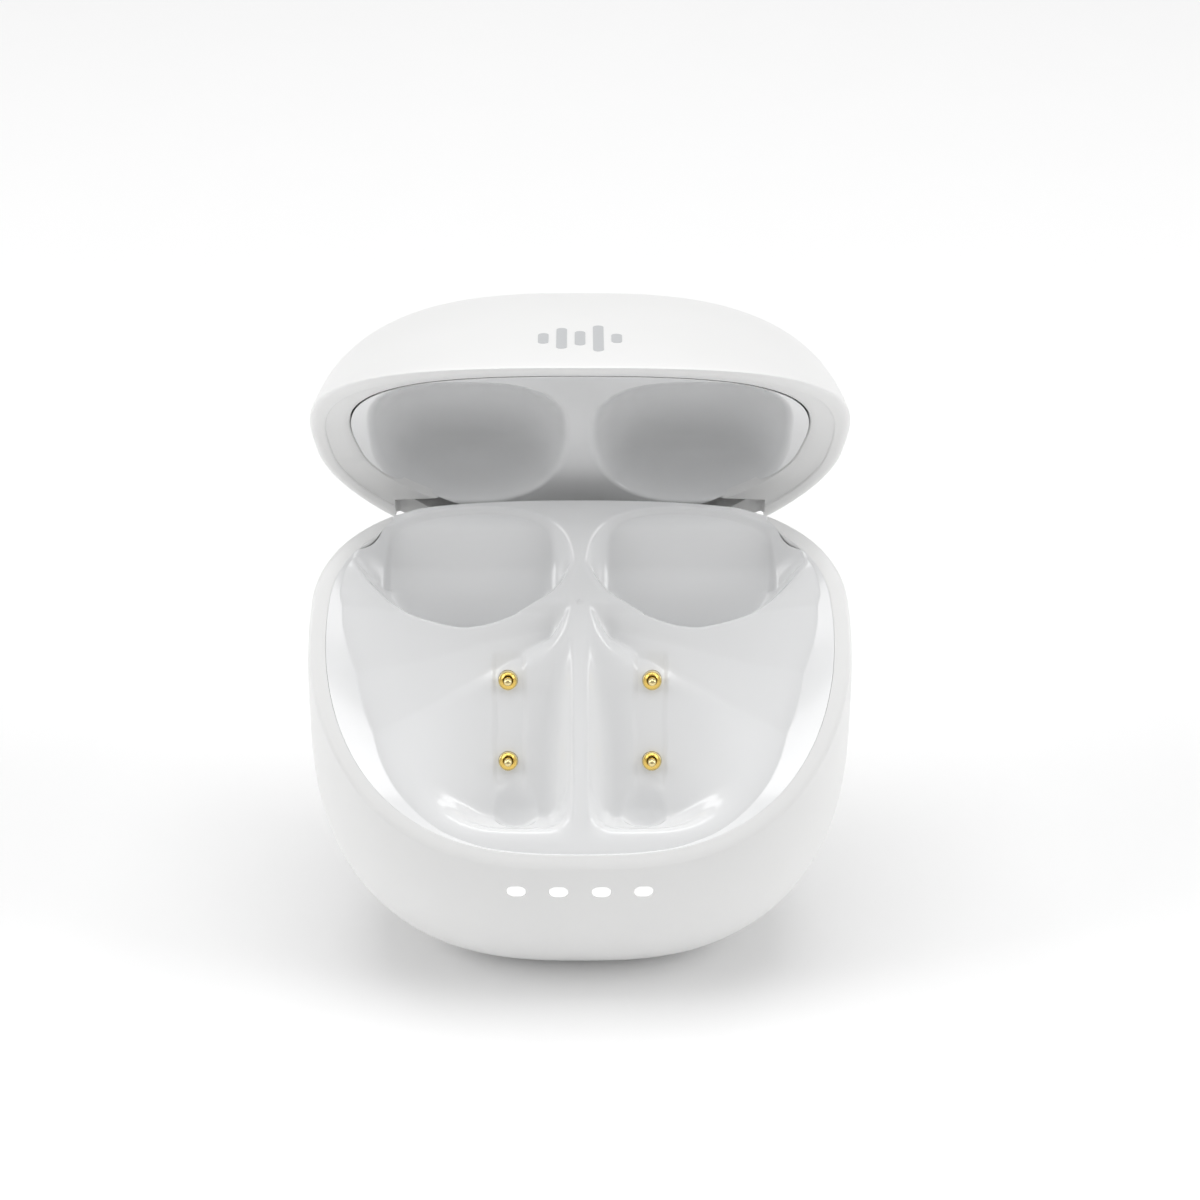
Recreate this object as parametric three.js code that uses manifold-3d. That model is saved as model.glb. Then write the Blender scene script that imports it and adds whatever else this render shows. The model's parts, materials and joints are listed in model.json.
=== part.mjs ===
// Wireless earbuds case, lid open at its stop. Millimetres, +Z up, -Y is the front.
import * as THREE from 'three';
import { mergeVertices } from 'three/addons/utils/BufferGeometryUtils.js';
import Module from 'manifold-3d';

const wasm = await Module();
wasm.setup();

// Outer body: half sizes of the widest plan outline, and its corner exponents.
const HALF_WIDTH = 30.0;
const HALF_FRONT = 18.48;
const HALF_BACK = 16.16;
const PLAN_FRONT = 2.744;
const PLAN_BACK = 1.956;

// Heights above the foot.
const RIM_LEVEL = 45.6;
const TOP = RIM_LEVEL + 15.26;
const WIDEST = RIM_LEVEL - 15.39;
const KEEL = RIM_LEVEL - 47.9;
const TOP_POWER = 3.447;
const KEEL_POWER = 2.357;

// Mouth: height of the parting surface along y.
const MOUTH = [0.7309, -0.03001, -0.00003074];
const PARTING_GAP = 0.15;

// Inner band of the lid's rim: inset at plan angles from the front (-90) to the back (90).
const BAND = [[-90, 2.6], [-60, 2.9], [-20, 3.8], [0, 4.2], [30, 4.3], [90, 4.3]];
const BAND_LIFT = 0.9;

// Width of the base liner's bevel below the rim, at the same plan angles.
const BEVEL = [
  [-90, 0.3], [-76, 0.35], [-65, 0.8], [-56, 1.5], [-44, 2.4], [-29, 3.7], [-12, 3.2], [-2, 1.6],
  [4, 0.8], [15, 0.3], [90, 0.3],
];

// Lowest surface that still covers the hinge, as y and height over the rim level.
const GUARD = [
  [-4, -13], [0.5, -8], [2.2, -5], [3.3, -3.2], [4.4, -1.9], [6.1, -0.5], [6.8, 0.5],
  [7.2, 1.9], [7.9, 2.9], [9.0, 3.7], [10.4, 4.0], [20, 4.4],
];

// Walls and clearances.
const WALL = 1.75;
const GAP = 0.3;
const LINER_WALL = 1.3;
const RING = 48;
const STEPS = 8;
const ROW_BOW = 0.017;

// Hinge.
const HINGE_Y = 10.36;
const HINGE_Z = RIM_LEVEL + 0.44;
const LID_OPEN = THREE.MathUtils.degToRad(101.8);
const PIN_R = 0.75;
const BARREL_R = 2.1;
const BARREL_GAP = 0.22;
const BLOCK_R = 5.55;
const BLOCK_HALF = 20.0;
const BRACKET_X = [15.2, 17.4];
const NOTCH_HALF = 20.8;
const NOTCH_LOW = RIM_LEVEL - 7.2;
const NOTCH_HIGH = RIM_LEVEL + 6.5;

// Earbud seats.
const SEAT_X = 12.8;
const SEAT_Y = 4.0;
const STEM_FLOOR = [-5.1, RIM_LEVEL - 7.5, 1.88];
const STEM_END = RIM_LEVEL - 21.0;

// Charging pins, one column per stem.
const PIN_X = 7.87;
const PIN_Y = [-5.1, -9.3];
const CUP_R = 1.05;
const PLUNGER_R = 0.45;

// Mark on the lid front.
const MARK_Z = RIM_LEVEL - 14.0;

// Front lights.
const LIGHT_X = [-7.0, -2.35, 2.35, 7.0];
const LIGHT_Z = RIM_LEVEL - 27.1;
const LIGHT_W = 2.2;
const LIGHT_H = 1.75;

// Charging socket in the back wall.
const USB_Z = RIM_LEVEL - 28.0;

const COLOURS = {
  white: 0xf1f1ef,
  gloss: 0xe9ebee,
  gold: 0xc99a3b,
  steel: 0xb9bcc0,
  board: 0x1f5b3a,
  black: 0x1b1c1e,
  cell: 0x9aa0a8,
  foam: 0x3a3a3c,
  light: 0xffffff,
  mark: 0xc4c6ca,
};

const bodyGroup = new THREE.Group();
bodyGroup.name = 'base_group';
const lidGroup = new THREE.Group();
lidGroup.name = 'lid_group';

function clamp(v, a, b) {
  return Math.min(b, Math.max(a, v));
}

function ease(a, b, v) {
  const t = clamp((v - a) / (b - a), 0, 1);
  return t * t * (3 - 2 * t);
}

function softMin(a, b, k) {
  const h = clamp(0.5 + 0.5 * (b - a) / k, 0, 1);
  return b + (a - b) * h - k * h * (1 - h);
}

function softMax(a, b, k) {
  return -softMin(-a, -b, k);
}

function mouth(y) {
  return RIM_LEVEL + MOUTH[0] * y + MOUTH[1] * y * y + MOUTH[2] * y * y * y;
}

function mouthSlope(y) {
  return MOUTH[0] + 2 * MOUTH[1] * y + 3 * MOUTH[2] * y * y;
}

// Straight-line reading of a table of [position, value] pairs.
function lookUp(table, v) {
  for (let i = 1; i < table.length; i += 1) {
    const [a, b] = [table[i - 1], table[i]];
    if (v < b[0] || i === table.length - 1) {
      return a[1] + (b[1] - a[1]) * clamp((v - a[0]) / (b[0] - a[0]), 0, 1);
    }
  }
  return table[0][1];
}

// Plan outline at its widest, for an angle measured from +X.
function plan(t) {
  const c = Math.cos(t);
  const s = Math.sin(t);
  const n = s < 0 ? PLAN_FRONT : PLAN_BACK;
  const x = HALF_WIDTH * Math.sign(c) * Math.pow(Math.abs(c), 2 / n);
  const y = (s < 0 ? -HALF_FRONT : HALF_BACK) * Math.pow(Math.abs(s), 2 / n);
  return [x, y];
}

// How far the outline has drawn in at height z, with the skin moved inwards by inset.
function shrink(z, inset) {
  const top = TOP - inset;
  const keel = KEEL + inset;
  if (z >= WIDEST) {
    const u = clamp((z - WIDEST) / (top - WIDEST), 0, 1);
    return Math.pow(1 - Math.pow(u, TOP_POWER), 1 / TOP_POWER);
  }
  const d = clamp((WIDEST - z) / (WIDEST - keel), 0, 1);
  return Math.pow(1 - Math.pow(d, KEEL_POWER), 1 / KEEL_POWER);
}

// A point of the skin moved inwards by inset, at plan angle t and height z.
function skin(t, z, inset) {
  const [x, y] = plan(t);
  const k = shrink(z, inset);
  const long = (HALF_WIDTH - inset) / HALF_WIDTH;
  const half = y < 0 ? HALF_FRONT : HALF_BACK;
  const deep = (half - inset) / half;
  return [x * k * long, y * k * deep, z];
}

// Where the skin at plan angle t meets the parting surface raised by lift.
function rimPoint(t, inset, lift) {
  let z = mouth(0);
  for (let i = 0; i < 40; i += 1) {
    const y = skin(t, z, inset)[1];
    z = 0.5 * z + 0.5 * (mouth(y) + lift);
  }
  return skin(t, z, inset);
}

// Wall of the base at plan angle t, so that the rim band looks equally wide all round.
function baseWall(t) {
  const [x, y] = plan(t);
  const n = y < 0 ? PLAN_FRONT : PLAN_BACK;
  const half = y < 0 ? HALF_FRONT : HALF_BACK;
  const nx = Math.pow(Math.abs(x / HALF_WIDTH), n - 1) / HALF_WIDTH;
  const ny = Math.pow(Math.abs(y / half), n - 1) / half;
  const across = mouthSlope(y) * ny / Math.sqrt(nx * nx + ny * ny);
  return WALL / Math.sqrt(1 + across * across);
}

// Width of the base rim at plan angle t: it thins out beside the deck.
function baseRim(t) {
  const [x, y] = plan(t);
  const share = y > 0 ? 0.3 + 0.7 * ease(NOTCH_HALF - 0.5, 26.5, Math.abs(x)) : 1;
  return baseWall(t) * share;
}

function lidBand(t) {
  const side = Math.atan2(Math.sin(t), Math.abs(Math.cos(t)));
  return lookUp(BAND, THREE.MathUtils.radToDeg(side));
}

function material(colour, rough, metal) {
  return new THREE.MeshStandardMaterial({
    color: COLOURS[colour],
    roughness: rough,
    metalness: metal,
  });
}

const MATERIALS = {
  white: ['white', 0.45, 0],
  gloss: ['gloss', 0.2, 0],
  gold: ['gold', 0.25, 1],
  steel: ['steel', 0.3, 1],
  board: ['board', 0.6, 0],
  black: ['black', 0.6, 0],
  cell: ['cell', 0.4, 0.3],
  foam: ['foam', 0.9, 0],
  light: ['light', 0.3, 0],
  mark: ['mark', 0.5, 0],
};

function add(group, name, geometry, kind) {
  const mesh = new THREE.Mesh(geometry, material(...MATERIALS[kind]));
  mesh.name = name;
  group.add(mesh);
  return mesh;
}

function clean(geometry) {
  const g = geometry.clone();
  g.deleteAttribute('normal');
  g.deleteAttribute('uv');
  return mergeVertices(g, 1e-4);
}

function toSolid(geometry) {
  const g = clean(geometry);
  const solid = new wasm.Manifold(new wasm.Mesh({
    numProp: 3,
    vertProperties: new Float32Array(g.attributes.position.array),
    triVerts: new Uint32Array(g.index.array),
  }));
  return solid;
}

function fromSolid(solid) {
  const mesh = solid.getMesh();
  const g = new THREE.BufferGeometry();
  g.setAttribute('position', new THREE.BufferAttribute(new Float32Array(mesh.vertProperties), 3));
  g.setIndex(new THREE.BufferAttribute(new Uint32Array(mesh.triVerts), 1));
  const flat = g.toNonIndexed();
  flat.computeVertexNormals();
  return flat;
}

function cut(geometry, tools) {
  let solid = toSolid(geometry);
  for (const tool of tools) {
    solid = solid.subtract(toSolid(tool));
  }
  return fromSolid(solid);
}

function join(geometries) {
  let solid = toSolid(geometries[0]);
  for (const geometry of geometries.slice(1)) {
    solid = solid.add(toSolid(geometry));
  }
  return fromSolid(solid);
}

function keep(geometry, tool) {
  return fromSolid(toSolid(geometry).intersect(toSolid(tool)));
}

function box(x0, x1, y0, y1, z0, z1) {
  const g = new THREE.BoxGeometry(x1 - x0, y1 - y0, z1 - z0);
  g.translate((x0 + x1) / 2, (y0 + y1) / 2, (z0 + z1) / 2);
  return g;
}

// A closed body from stacked rings of equal length, capped at both ends by a fan.
function loft(rings) {
  const points = [];
  const faces = [];
  const n = rings[0].length;
  for (const ring of rings) {
    for (const p of ring) {
      points.push(...p);
    }
  }
  for (let i = 0; i < rings.length - 1; i += 1) {
    for (let j = 0; j < n; j += 1) {
      const a = i * n + j;
      const b = i * n + (j + 1) % n;
      faces.push(a, b, b + n, a, b + n, a + n);
    }
  }
  for (const [ring, flip] of [[0, true], [rings.length - 1, false]]) {
    const centre = [0, 0, 0];
    for (const p of rings[ring]) {
      centre[0] += p[0] / n;
      centre[1] += p[1] / n;
      centre[2] += p[2] / n;
    }
    const c = points.length / 3;
    points.push(...centre);
    for (let j = 0; j < n; j += 1) {
      const a = ring * n + j;
      const b = ring * n + (j + 1) % n;
      faces.push(...(flip ? [c, b, a] : [c, a, b]));
    }
  }
  const g = new THREE.BufferGeometry();
  g.setAttribute('position', new THREE.BufferAttribute(new Float32Array(points), 3));
  g.setIndex(faces);
  return g;
}

// One ring of the skin: u = 0 at the parting line, u = 1 at the end height.
function ringAt(count, inset, end, lift, u) {
  const ring = [];
  const g = Math.sin(u * Math.PI / 2);
  for (let j = 0; j < count; j += 1) {
    const t = 2 * Math.PI * j / count;
    const rim = rimPoint(t, inset(t), lift);
    ring.push(skin(t, rim[2] + (end - rim[2]) * g, inset(t)));
  }
  return ring;
}

// Shell between the skin and a wall inside it; lips are [inset, lift] rings between the two.
function shell(count, steps, end, innerEnd, lift, lips, wall, start) {
  const rings = [];
  for (let i = 0; i <= steps; i += 1) {
    rings.push(ringAt(count, () => 0, end, lift, 1 - i / steps));
  }
  for (const [inset, rise] of lips) {
    rings.push(ringAt(count, inset, end, rise, 0));
  }
  for (let i = 0; i <= steps; i += 1) {
    rings.push(ringAt(count, wall, innerEnd, start, i / steps));
  }
  return rings;
}

function tube(radius, x0, x1, y, z, sides) {
  const g = new THREE.CylinderGeometry(radius, radius, x1 - x0, sides);
  g.rotateZ(Math.PI / 2);
  g.translate((x0 + x1) / 2, y, z);
  return g;
}

// Plate in the y-z plane given as [y, z] corners, running from x0 to x1.
function plate(corners, x0, x1) {
  const shape = new THREE.Shape(corners.map(([y, z]) => new THREE.Vector2(y, z)));
  const g = new THREE.ExtrudeGeometry(shape, { depth: x1 - x0, bevelEnabled: false });
  g.applyMatrix4(new THREE.Matrix4().set(0, 0, 1, x0, 1, 0, 0, 0, 0, 1, 0, 0, 0, 0, 0, 1));
  return g;
}

// Sector about the hinge line, angles in degrees from +Y towards +Z.
function sector(radius, from, to, x0, x1, sides) {
  const corners = [[HINGE_Y, HINGE_Z]];
  for (let i = 0; i <= sides; i += 1) {
    const a = THREE.MathUtils.degToRad(from + (to - from) * i / sides);
    corners.push([HINGE_Y + radius * Math.cos(a), HINGE_Z + radius * Math.sin(a)]);
  }
  return plate(corners, x0, x1);
}

// Tray: one sheet of heights over an oval outline, with a second sheet under or over it.
function tray(outline, cols, face, back) {
  const points = [];
  const faces = [];
  const rows = outline.length - 1;
  const width = cols + 1;
  for (const sheet of [face, back]) {
    for (const edge of outline) {
      for (let j = 0; j <= cols; j += 1) {
        const s = Math.sin(Math.PI / 2 * (2 * j / cols - 1));
        const x = edge[0] * s;
        const y = edge[1] - ROW_BOW * edge[0] * (1 - s * s);
        points.push(x, y, sheet(x, y));
      }
    }
  }
  const layer = (rows + 1) * width;
  const quad = (a, b, c, d) => faces.push(a, b, c, a, c, d);
  for (let i = 0; i < rows; i += 1) {
    for (let j = 0; j < cols; j += 1) {
      const a = i * width + j;
      quad(a, a + 1, a + width + 1, a + width);
      quad(layer + a, layer + a + width, layer + a + width + 1, layer + a + 1);
    }
    for (const j of [0, cols]) {
      const a = i * width + j;
      const q = [a, a + width, layer + a + width, layer + a];
      quad(...(j === 0 ? q : q.reverse()));
    }
  }
  for (const i of [0, rows]) {
    for (let j = 0; j < cols; j += 1) {
      const a = i * width + j;
      const q = [a, layer + a, layer + a + 1, a + 1];
      quad(...(i === 0 ? q : q.reverse()));
    }
  }
  const g = new THREE.BufferGeometry();
  g.setAttribute('position', new THREE.BufferAttribute(new Float32Array(points), 3));
  g.setIndex(faces);
  const merged = mergeVertices(g, 1e-4);
  const kept = [];
  const index = merged.index.array;
  for (let i = 0; i < index.length; i += 3) {
    const [a, b, c] = [index[i], index[i + 1], index[i + 2]];
    if (a !== b && b !== c && a !== c) {
      kept.push(a, b, c);
    }
  }
  merged.setIndex(kept);
  return merged;
}

// Right-hand outline of a liner from front to back.
function outlineOf(rows, inset, lift) {
  const points = [];
  for (let i = 0; i <= rows; i += 1) {
    const s = Math.sin(-Math.PI / 2 + Math.PI * i / rows);
    const t = Math.sign(s) * Math.asin(Math.pow(Math.abs(s), (s < 0 ? PLAN_FRONT : PLAN_BACK) / 2));
    points.push(rimPoint(t, inset(t), lift));
  }
  return points;
}

// The base liner stays inside the shell, then reaches the skin where the shell is notched.
function baseOutline(rows) {
  const side = NOTCH_HALF - GAP;
  const inside = outlineOf(rows, (t) => baseRim(t) + GAP, -0.3);
  const first = inside.filter(([x, y]) => x > side || y < 0);
  const last = first[first.length - 1];
  const outside = outlineOf(rows * 2, () => 0.15, -0.3).filter(([x, y]) => x <= side && y > last[1] + 0.2);
  const turn = [0.33, 0.67].map((f) => [side, last[1] + (outside[0][1] - last[1]) * f]);
  return [...first, ...turn, ...outside.filter((p, i) => i % 2 === 0 || i === outside.length - 1)];
}

// Rough distance inwards from the base liner's outline, and the plan angle there in degrees.
function fromEdge(x, y) {
  const z = mouth(y);
  const n = y < 0 ? PLAN_FRONT : PLAN_BACK;
  const half = y < 0 ? HALF_FRONT : HALF_BACK;
  let inset = 1.3;
  let rx = 0;
  let ry = 0;
  let t = 0;
  for (let i = 0; i < 2; i += 1) {
    const k = Math.max(shrink(z, inset), 1e-3);
    rx = Math.abs(x) / (k * (HALF_WIDTH - inset));
    ry = Math.abs(y) / (k * (half - inset));
    t = Math.sign(y) * Math.atan2(Math.pow(ry, n / 2), Math.pow(rx, n / 2));
    inset = baseWall(t);
  }
  const r = Math.pow(Math.pow(rx, n) + Math.pow(ry, n), 1 / n);
  return [(1 - r) * Math.hypot(x, y) / Math.max(r, 1e-3), THREE.MathUtils.radToDeg(t)];
}

function guard(y) {
  let sum = 0;
  for (let i = -4; i <= 4; i += 1) {
    sum += lookUp(GUARD, y + 0.225 * i);
  }
  return RIM_LEVEL + 0.12 + sum / 9;
}

// Where the raised deck ends at the back.
function deckEnd(x) {
  return 12.2 - 2.1 * Math.pow(Math.abs(x) / NOTCH_HALF, 2.4);
}

// Height of the base liner before the seats and troughs are sunk into it.
function deck(x, y) {
  const u = Math.abs(x);
  const steep = Math.sqrt(1 + mouthSlope(y) ** 2);
  const [d, angle] = fromEdge(x, y);
  const bevel = lookUp(BEVEL, angle);
  let depth = 0.1 + (0.15 + 0.5 * bevel) * clamp(d / bevel, 0, 1) + 0.6 * ease(bevel, bevel + 7, d);
  depth += (0.45 - depth) * (1 - ease(0.8, 3.4, u)) * ease(0.5, 2.5, d);
  const back = ease(0.5, 8, y);
  const raised = Math.max(1 - ease(17.0, NOTCH_HALF, u), ease(0.3, 3.0, d));
  return mouth(y) - (1 - back) * steep * depth + back * 0.5 * raised;
}

// Height of the base liner: deck, two head seats and two stem troughs.
function baseSurface(x, y) {
  const u = Math.abs(x);
  const level = deck(x, y);
  const slope = STEM_FLOOR[1] + (y - STEM_FLOOR[0]) * STEM_FLOOR[2];
  const floor = softMax(softMin(slope, level, 0.5), STEM_END, 0.7);
  const inner = 1 - Math.pow(1 - clamp((u - 0.8) / 3.4, 0, 1), 2.4);
  const outer = 1 - ease(8.8, 18.3, u);
  const front = ease(0.5, 4.0, fromEdge(x, y)[0]);
  const stem = level + Math.min(0, floor - level) * inner * outer * front;
  const rise = y > SEAT_Y ? 6.3 + 0.1 * (SEAT_X - u) : 4.9;
  const power = y > SEAT_Y ? 2.1 : 1.65;
  const q = Math.pow(Math.abs((u - SEAT_X) / 11.9), power) + Math.pow(Math.abs((y - SEAT_Y) / rise), power);
  const bowl = level - (13.0 - 5.0 * ease(14, 24, u)) * (1 - Math.pow(clamp(q, 0, 1.6), 1.25));
  const cover = guard(y) - 5.0 * ease(NOTCH_HALF, 23.5, u);
  const seat = softMax(bowl, cover, 0.6 + 1.9 * (1 - ease(4, 8, y)));
  return softMin(stem, seat, 0.5 + 1.5 * (1 - ease(2, 6, y)) * (1 - ease(19, 24, u)));
}

// Ceiling of the lid liner: two domes over the earbuds.
function lidSurface(x, y) {
  const u = Math.abs(x);
  const level = mouth(y) + BAND_LIFT;
  const q = Math.pow(Math.abs((u - 12.2) / 10.7), 2.5) + Math.pow(Math.abs((y + 3.3) / 10.5), 2.5);
  const dome = level + 9.5 * (1 - Math.pow(clamp(q, 0, 1.4), 1.3));
  return softMax(level, dome, 1.3);
}

// The sheet behind a surface, far enough away to leave a wall on slopes.
function behind(surface, sign, limit) {
  return (x, y) => {
    const e = 0.4;
    const dx = (surface(x + e, y) - surface(x - e, y)) / (2 * e);
    const dy = (surface(x, y + e) - surface(x, y - e)) / (2 * e);
    const rise = LINER_WALL * Math.sqrt(1 + dx * dx + dy * dy);
    return surface(x, y) + sign * Math.min(rise, limit);
  };
}

// ---- base shell -------------------------------------------------------------
const baseLips = [[baseRim, -PARTING_GAP], [baseRim, -1.5]];
const baseRings = shell(RING, STEPS, 0, WALL, -PARTING_GAP, baseLips, baseWall, -1.7);
const baseSolid = loft(baseRings);
const lightHoles = LIGHT_X.map((x) => {
  const w = LIGHT_W / 2;
  const h = LIGHT_H / 2;
  return box(x - w, x + w, -22, -10, LIGHT_Z - h, LIGHT_Z + h);
});
const notch = box(-NOTCH_HALF, NOTCH_HALF, 7, 22, NOTCH_LOW, RIM_LEVEL + 12);
const usbHole = box(-4.75, 4.75, 8, 22, USB_Z - 2.0, USB_Z + 2.0);
add(bodyGroup, 'base_shell', cut(baseSolid, [notch, usbHole, ...lightHoles]), 'white');

// ---- base liner -------------------------------------------------------------
const deckLine = [];
for (let i = 0; i <= 16; i += 1) {
  const x = NOTCH_HALF * (i / 8 - 1);
  deckLine.push(new THREE.Vector2(x, deckEnd(x)));
}
deckLine.push(new THREE.Vector2(NOTCH_HALF, 24), new THREE.Vector2(-NOTCH_HALF, 24));
const behindDeck = new THREE.ExtrudeGeometry(new THREE.Shape(deckLine), { depth: 32, bevelEnabled: false });
behindDeck.translate(0, 0, RIM_LEVEL - 20);
const hingeRoom = [
  sector(BLOCK_R + GAP, -152, 56, -NOTCH_HALF, NOTCH_HALF, 18),
  tube(BARREL_R + BARREL_GAP, -NOTCH_HALF, NOTCH_HALF, HINGE_Y, HINGE_Z, 28),
  behindDeck,
];

const pinTilt = Math.atan(STEM_FLOOR[2]);
const pinAxis = new THREE.Vector3(0, -Math.sin(pinTilt), Math.cos(pinTilt));
const turnPin = new THREE.Quaternion().setFromUnitVectors(new THREE.Vector3(0, 1, 0), pinAxis);

// Puts a body turned about +Y onto a charging pin axis, along = distance out of the trough floor.
function onPin(geometry, x, y, along) {
  const z = STEM_FLOOR[1] + (y - STEM_FLOOR[0]) * STEM_FLOOR[2];
  geometry.applyQuaternion(turnPin);
  geometry.translate(x, y + pinAxis.y * along, z + pinAxis.z * along);
  return geometry;
}

const pinPlaces = [];
for (const [side, sx] of [['left', -1], ['right', 1]]) {
  PIN_Y.forEach((y, i) => {
    pinPlaces.push([`${side}_${i === 0 ? 'upper' : 'lower'}`, sx * PIN_X, y]);
  });
}
const pinHoles = pinPlaces.map(([, x, y]) => {
  const drill = new THREE.CylinderGeometry(CUP_R + GAP, CUP_R + GAP, 10, 20);
  return onPin(drill, x, y, 0);
});
const baseLiner = tray(baseOutline(29), 30, baseSurface, behind(baseSurface, -1, 4.2));
add(bodyGroup, 'base_liner', cut(baseLiner, [...hingeRoom, ...pinHoles]), 'gloss');

// ---- charging pins ----------------------------------------------------------
const cupProfile = [
  [0, -2.4], [CUP_R, -2.4], [CUP_R, 0.15], [CUP_R - 0.2, 0.35],
  [0.68, 0.35], [0.68, -1.9], [0, -1.9],
].map(([r, y]) => new THREE.Vector2(r, y));
const plungerProfile = [
  [0, -1.1], [PLUNGER_R, -1.1], [PLUNGER_R, 0.95], [0.3, 1.22], [0, 1.32],
].map(([r, y]) => new THREE.Vector2(r, y));
for (const [label, x, y] of pinPlaces) {
  add(bodyGroup, `pin_cup_${label}`, onPin(new THREE.LatheGeometry(cupProfile, 20), x, y, 0), 'gold');
}
for (const [label, x, y] of pinPlaces) {
  add(bodyGroup, `pin_plunger_${label}`, onPin(new THREE.LatheGeometry(plungerProfile, 14), x, y, 0), 'gold');
}
for (const [side, sx] of [['left', -1], ['right', 1]]) {
  const board = new THREE.BoxGeometry(4.0, 0.8, 9.0);
  const middle = (PIN_Y[0] + PIN_Y[1]) / 2;
  add(bodyGroup, `pin_board_${side}`, onPin(board, sx * PIN_X, middle, -2.9), 'board');
}

// ---- inside the base --------------------------------------------------------
const BOARD_Z = USB_Z - 1.75;
add(bodyGroup, 'battery', box(-15, 15, -6.6, 5.4, 5.4, BOARD_Z - 2.0), 'cell');
add(bodyGroup, 'battery_foam', box(-12, 12, -5.5, 5.0, BOARD_Z - 1.9, BOARD_Z - 0.9), 'foam');
add(bodyGroup, 'main_board', box(-16, 16, -11.0, 9.0, BOARD_Z - 0.8, BOARD_Z), 'board');
const socket = cut(box(-4.45, 4.45, 6.2, 14.6, BOARD_Z + 0.05, BOARD_Z + 3.45), [
  box(-4.1, 4.1, 7.0, 16, BOARD_Z + 0.4, BOARD_Z + 3.1),
]);
add(bodyGroup, 'usb_c_socket', socket, 'steel');
add(bodyGroup, 'usb_c_tongue', box(-3.3, 3.3, 7.05, 12.8, BOARD_Z + 1.4, BOARD_Z + 2.1), 'black');
add(bodyGroup, 'light_board', box(-9.0, 9.0, -15.0, -14.2, LIGHT_Z - 1.6, LIGHT_Z + 1.6), 'board');

const solidBase = loft(baseRings.slice(0, STEPS + 1));
LIGHT_X.forEach((x, i) => {
  const w = LIGHT_W / 2 - 0.12;
  const h = LIGHT_H / 2 - 0.12;
  const rod = box(x - w, x + w, -20, -15.15, LIGHT_Z - h, LIGHT_Z + h);
  add(bodyGroup, `light_guide_${i + 1}`, keep(rod, solidBase), 'light');
});
add(bodyGroup, 'lid_sensor', box(12.5, 15.5, -9.5, -8.0, BOARD_Z + 0.05, BOARD_Z + 1.0), 'black');
for (const [side, sx] of [['left', -1], ['right', 1]]) {
  const seatMagnet = new THREE.CylinderGeometry(3.0, 3.0, 1.6, 24);
  seatMagnet.rotateX(Math.PI / 2);
  seatMagnet.translate(sx * SEAT_X, 1.5, RIM_LEVEL - 11.7);
  add(bodyGroup, `seat_magnet_${side}`, seatMagnet, 'steel');
  const closing = box(sx * 24.2 - 1.5, sx * 24.2 + 1.5, -8, -4, RIM_LEVEL - 15.0, RIM_LEVEL - 13.0);
  add(bodyGroup, `catch_magnet_${side}`, closing, 'steel');
}

// ---- hinge ------------------------------------------------------------------
add(bodyGroup, 'hinge_pin', tube(PIN_R, -19.8, 19.8, HINGE_Y, HINGE_Z, 20), 'steel');
for (const [side, sx] of [['left', -1], ['right', 1]]) {
  const x0 = sx < 0 ? -BRACKET_X[1] : BRACKET_X[0];
  const x1 = x0 + BRACKET_X[1] - BRACKET_X[0];
  const leg = plate([
    [HINGE_Y - 1.9, HINGE_Z], [6.0, RIM_LEVEL - 7.4], [6.0, RIM_LEVEL - 12.5],
    [9.0, RIM_LEVEL - 12.5], [9.0, RIM_LEVEL - 7.4], [HINGE_Y + 1.9, HINGE_Z],
  ], x0, x1);
  const eye = tube(1.9, x0, x1, HINGE_Y, HINGE_Z, 24);
  const bore = tube(PIN_R + 0.05, x0 - 1, x1 + 1, HINGE_Y, HINGE_Z, 20);
  add(bodyGroup, `hinge_bracket_${side}`, cut(join([leg, eye]), [bore]), 'steel');
}

// ---- lid --------------------------------------------------------------------
const lidWall = () => WALL;
const lidLips = [[lidWall, PARTING_GAP], [lidBand, BAND_LIFT], [lidBand, BAND_LIFT + 1.2]];
const lidEnds = [TOP - 0.02, TOP - WALL - 0.02];
const lidRings = shell(RING, STEPS, ...lidEnds, PARTING_GAP, lidLips, lidWall, BAND_LIFT + 1.4).reverse();
const lidNotch = box(-NOTCH_HALF, NOTCH_HALF, 7, 22, RIM_LEVEL - 12, NOTCH_HIGH);
add(lidGroup, 'lid_shell', cut(loft(lidRings), [lidNotch]), 'white');

const lidBack = [
  box(-NOTCH_HALF, NOTCH_HALF, 9.2, 22, RIM_LEVEL - 12, TOP),
];
const lidOutline = outlineOf(22, (t) => lidBand(t) + GAP + 0.25, BAND_LIFT);
const lidLiner = tray(lidOutline, 24, behind(lidSurface, 1, 2.6), lidSurface);
add(lidGroup, 'lid_liner', cut(lidLiner, lidBack), 'gloss');

// Slice of the closed body with its skin moved inwards by inset.
function core(inset, z0, z1) {
  const rings = [];
  for (let i = 0; i <= 6; i += 1) {
    const z = z0 + (z1 - z0) * i / 6;
    const ring = [];
    for (let j = 0; j < 72; j += 1) {
      ring.push(skin(2 * Math.PI * j / 72, z, inset));
    }
    rings.push(ring);
  }
  return loft(rings);
}

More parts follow.
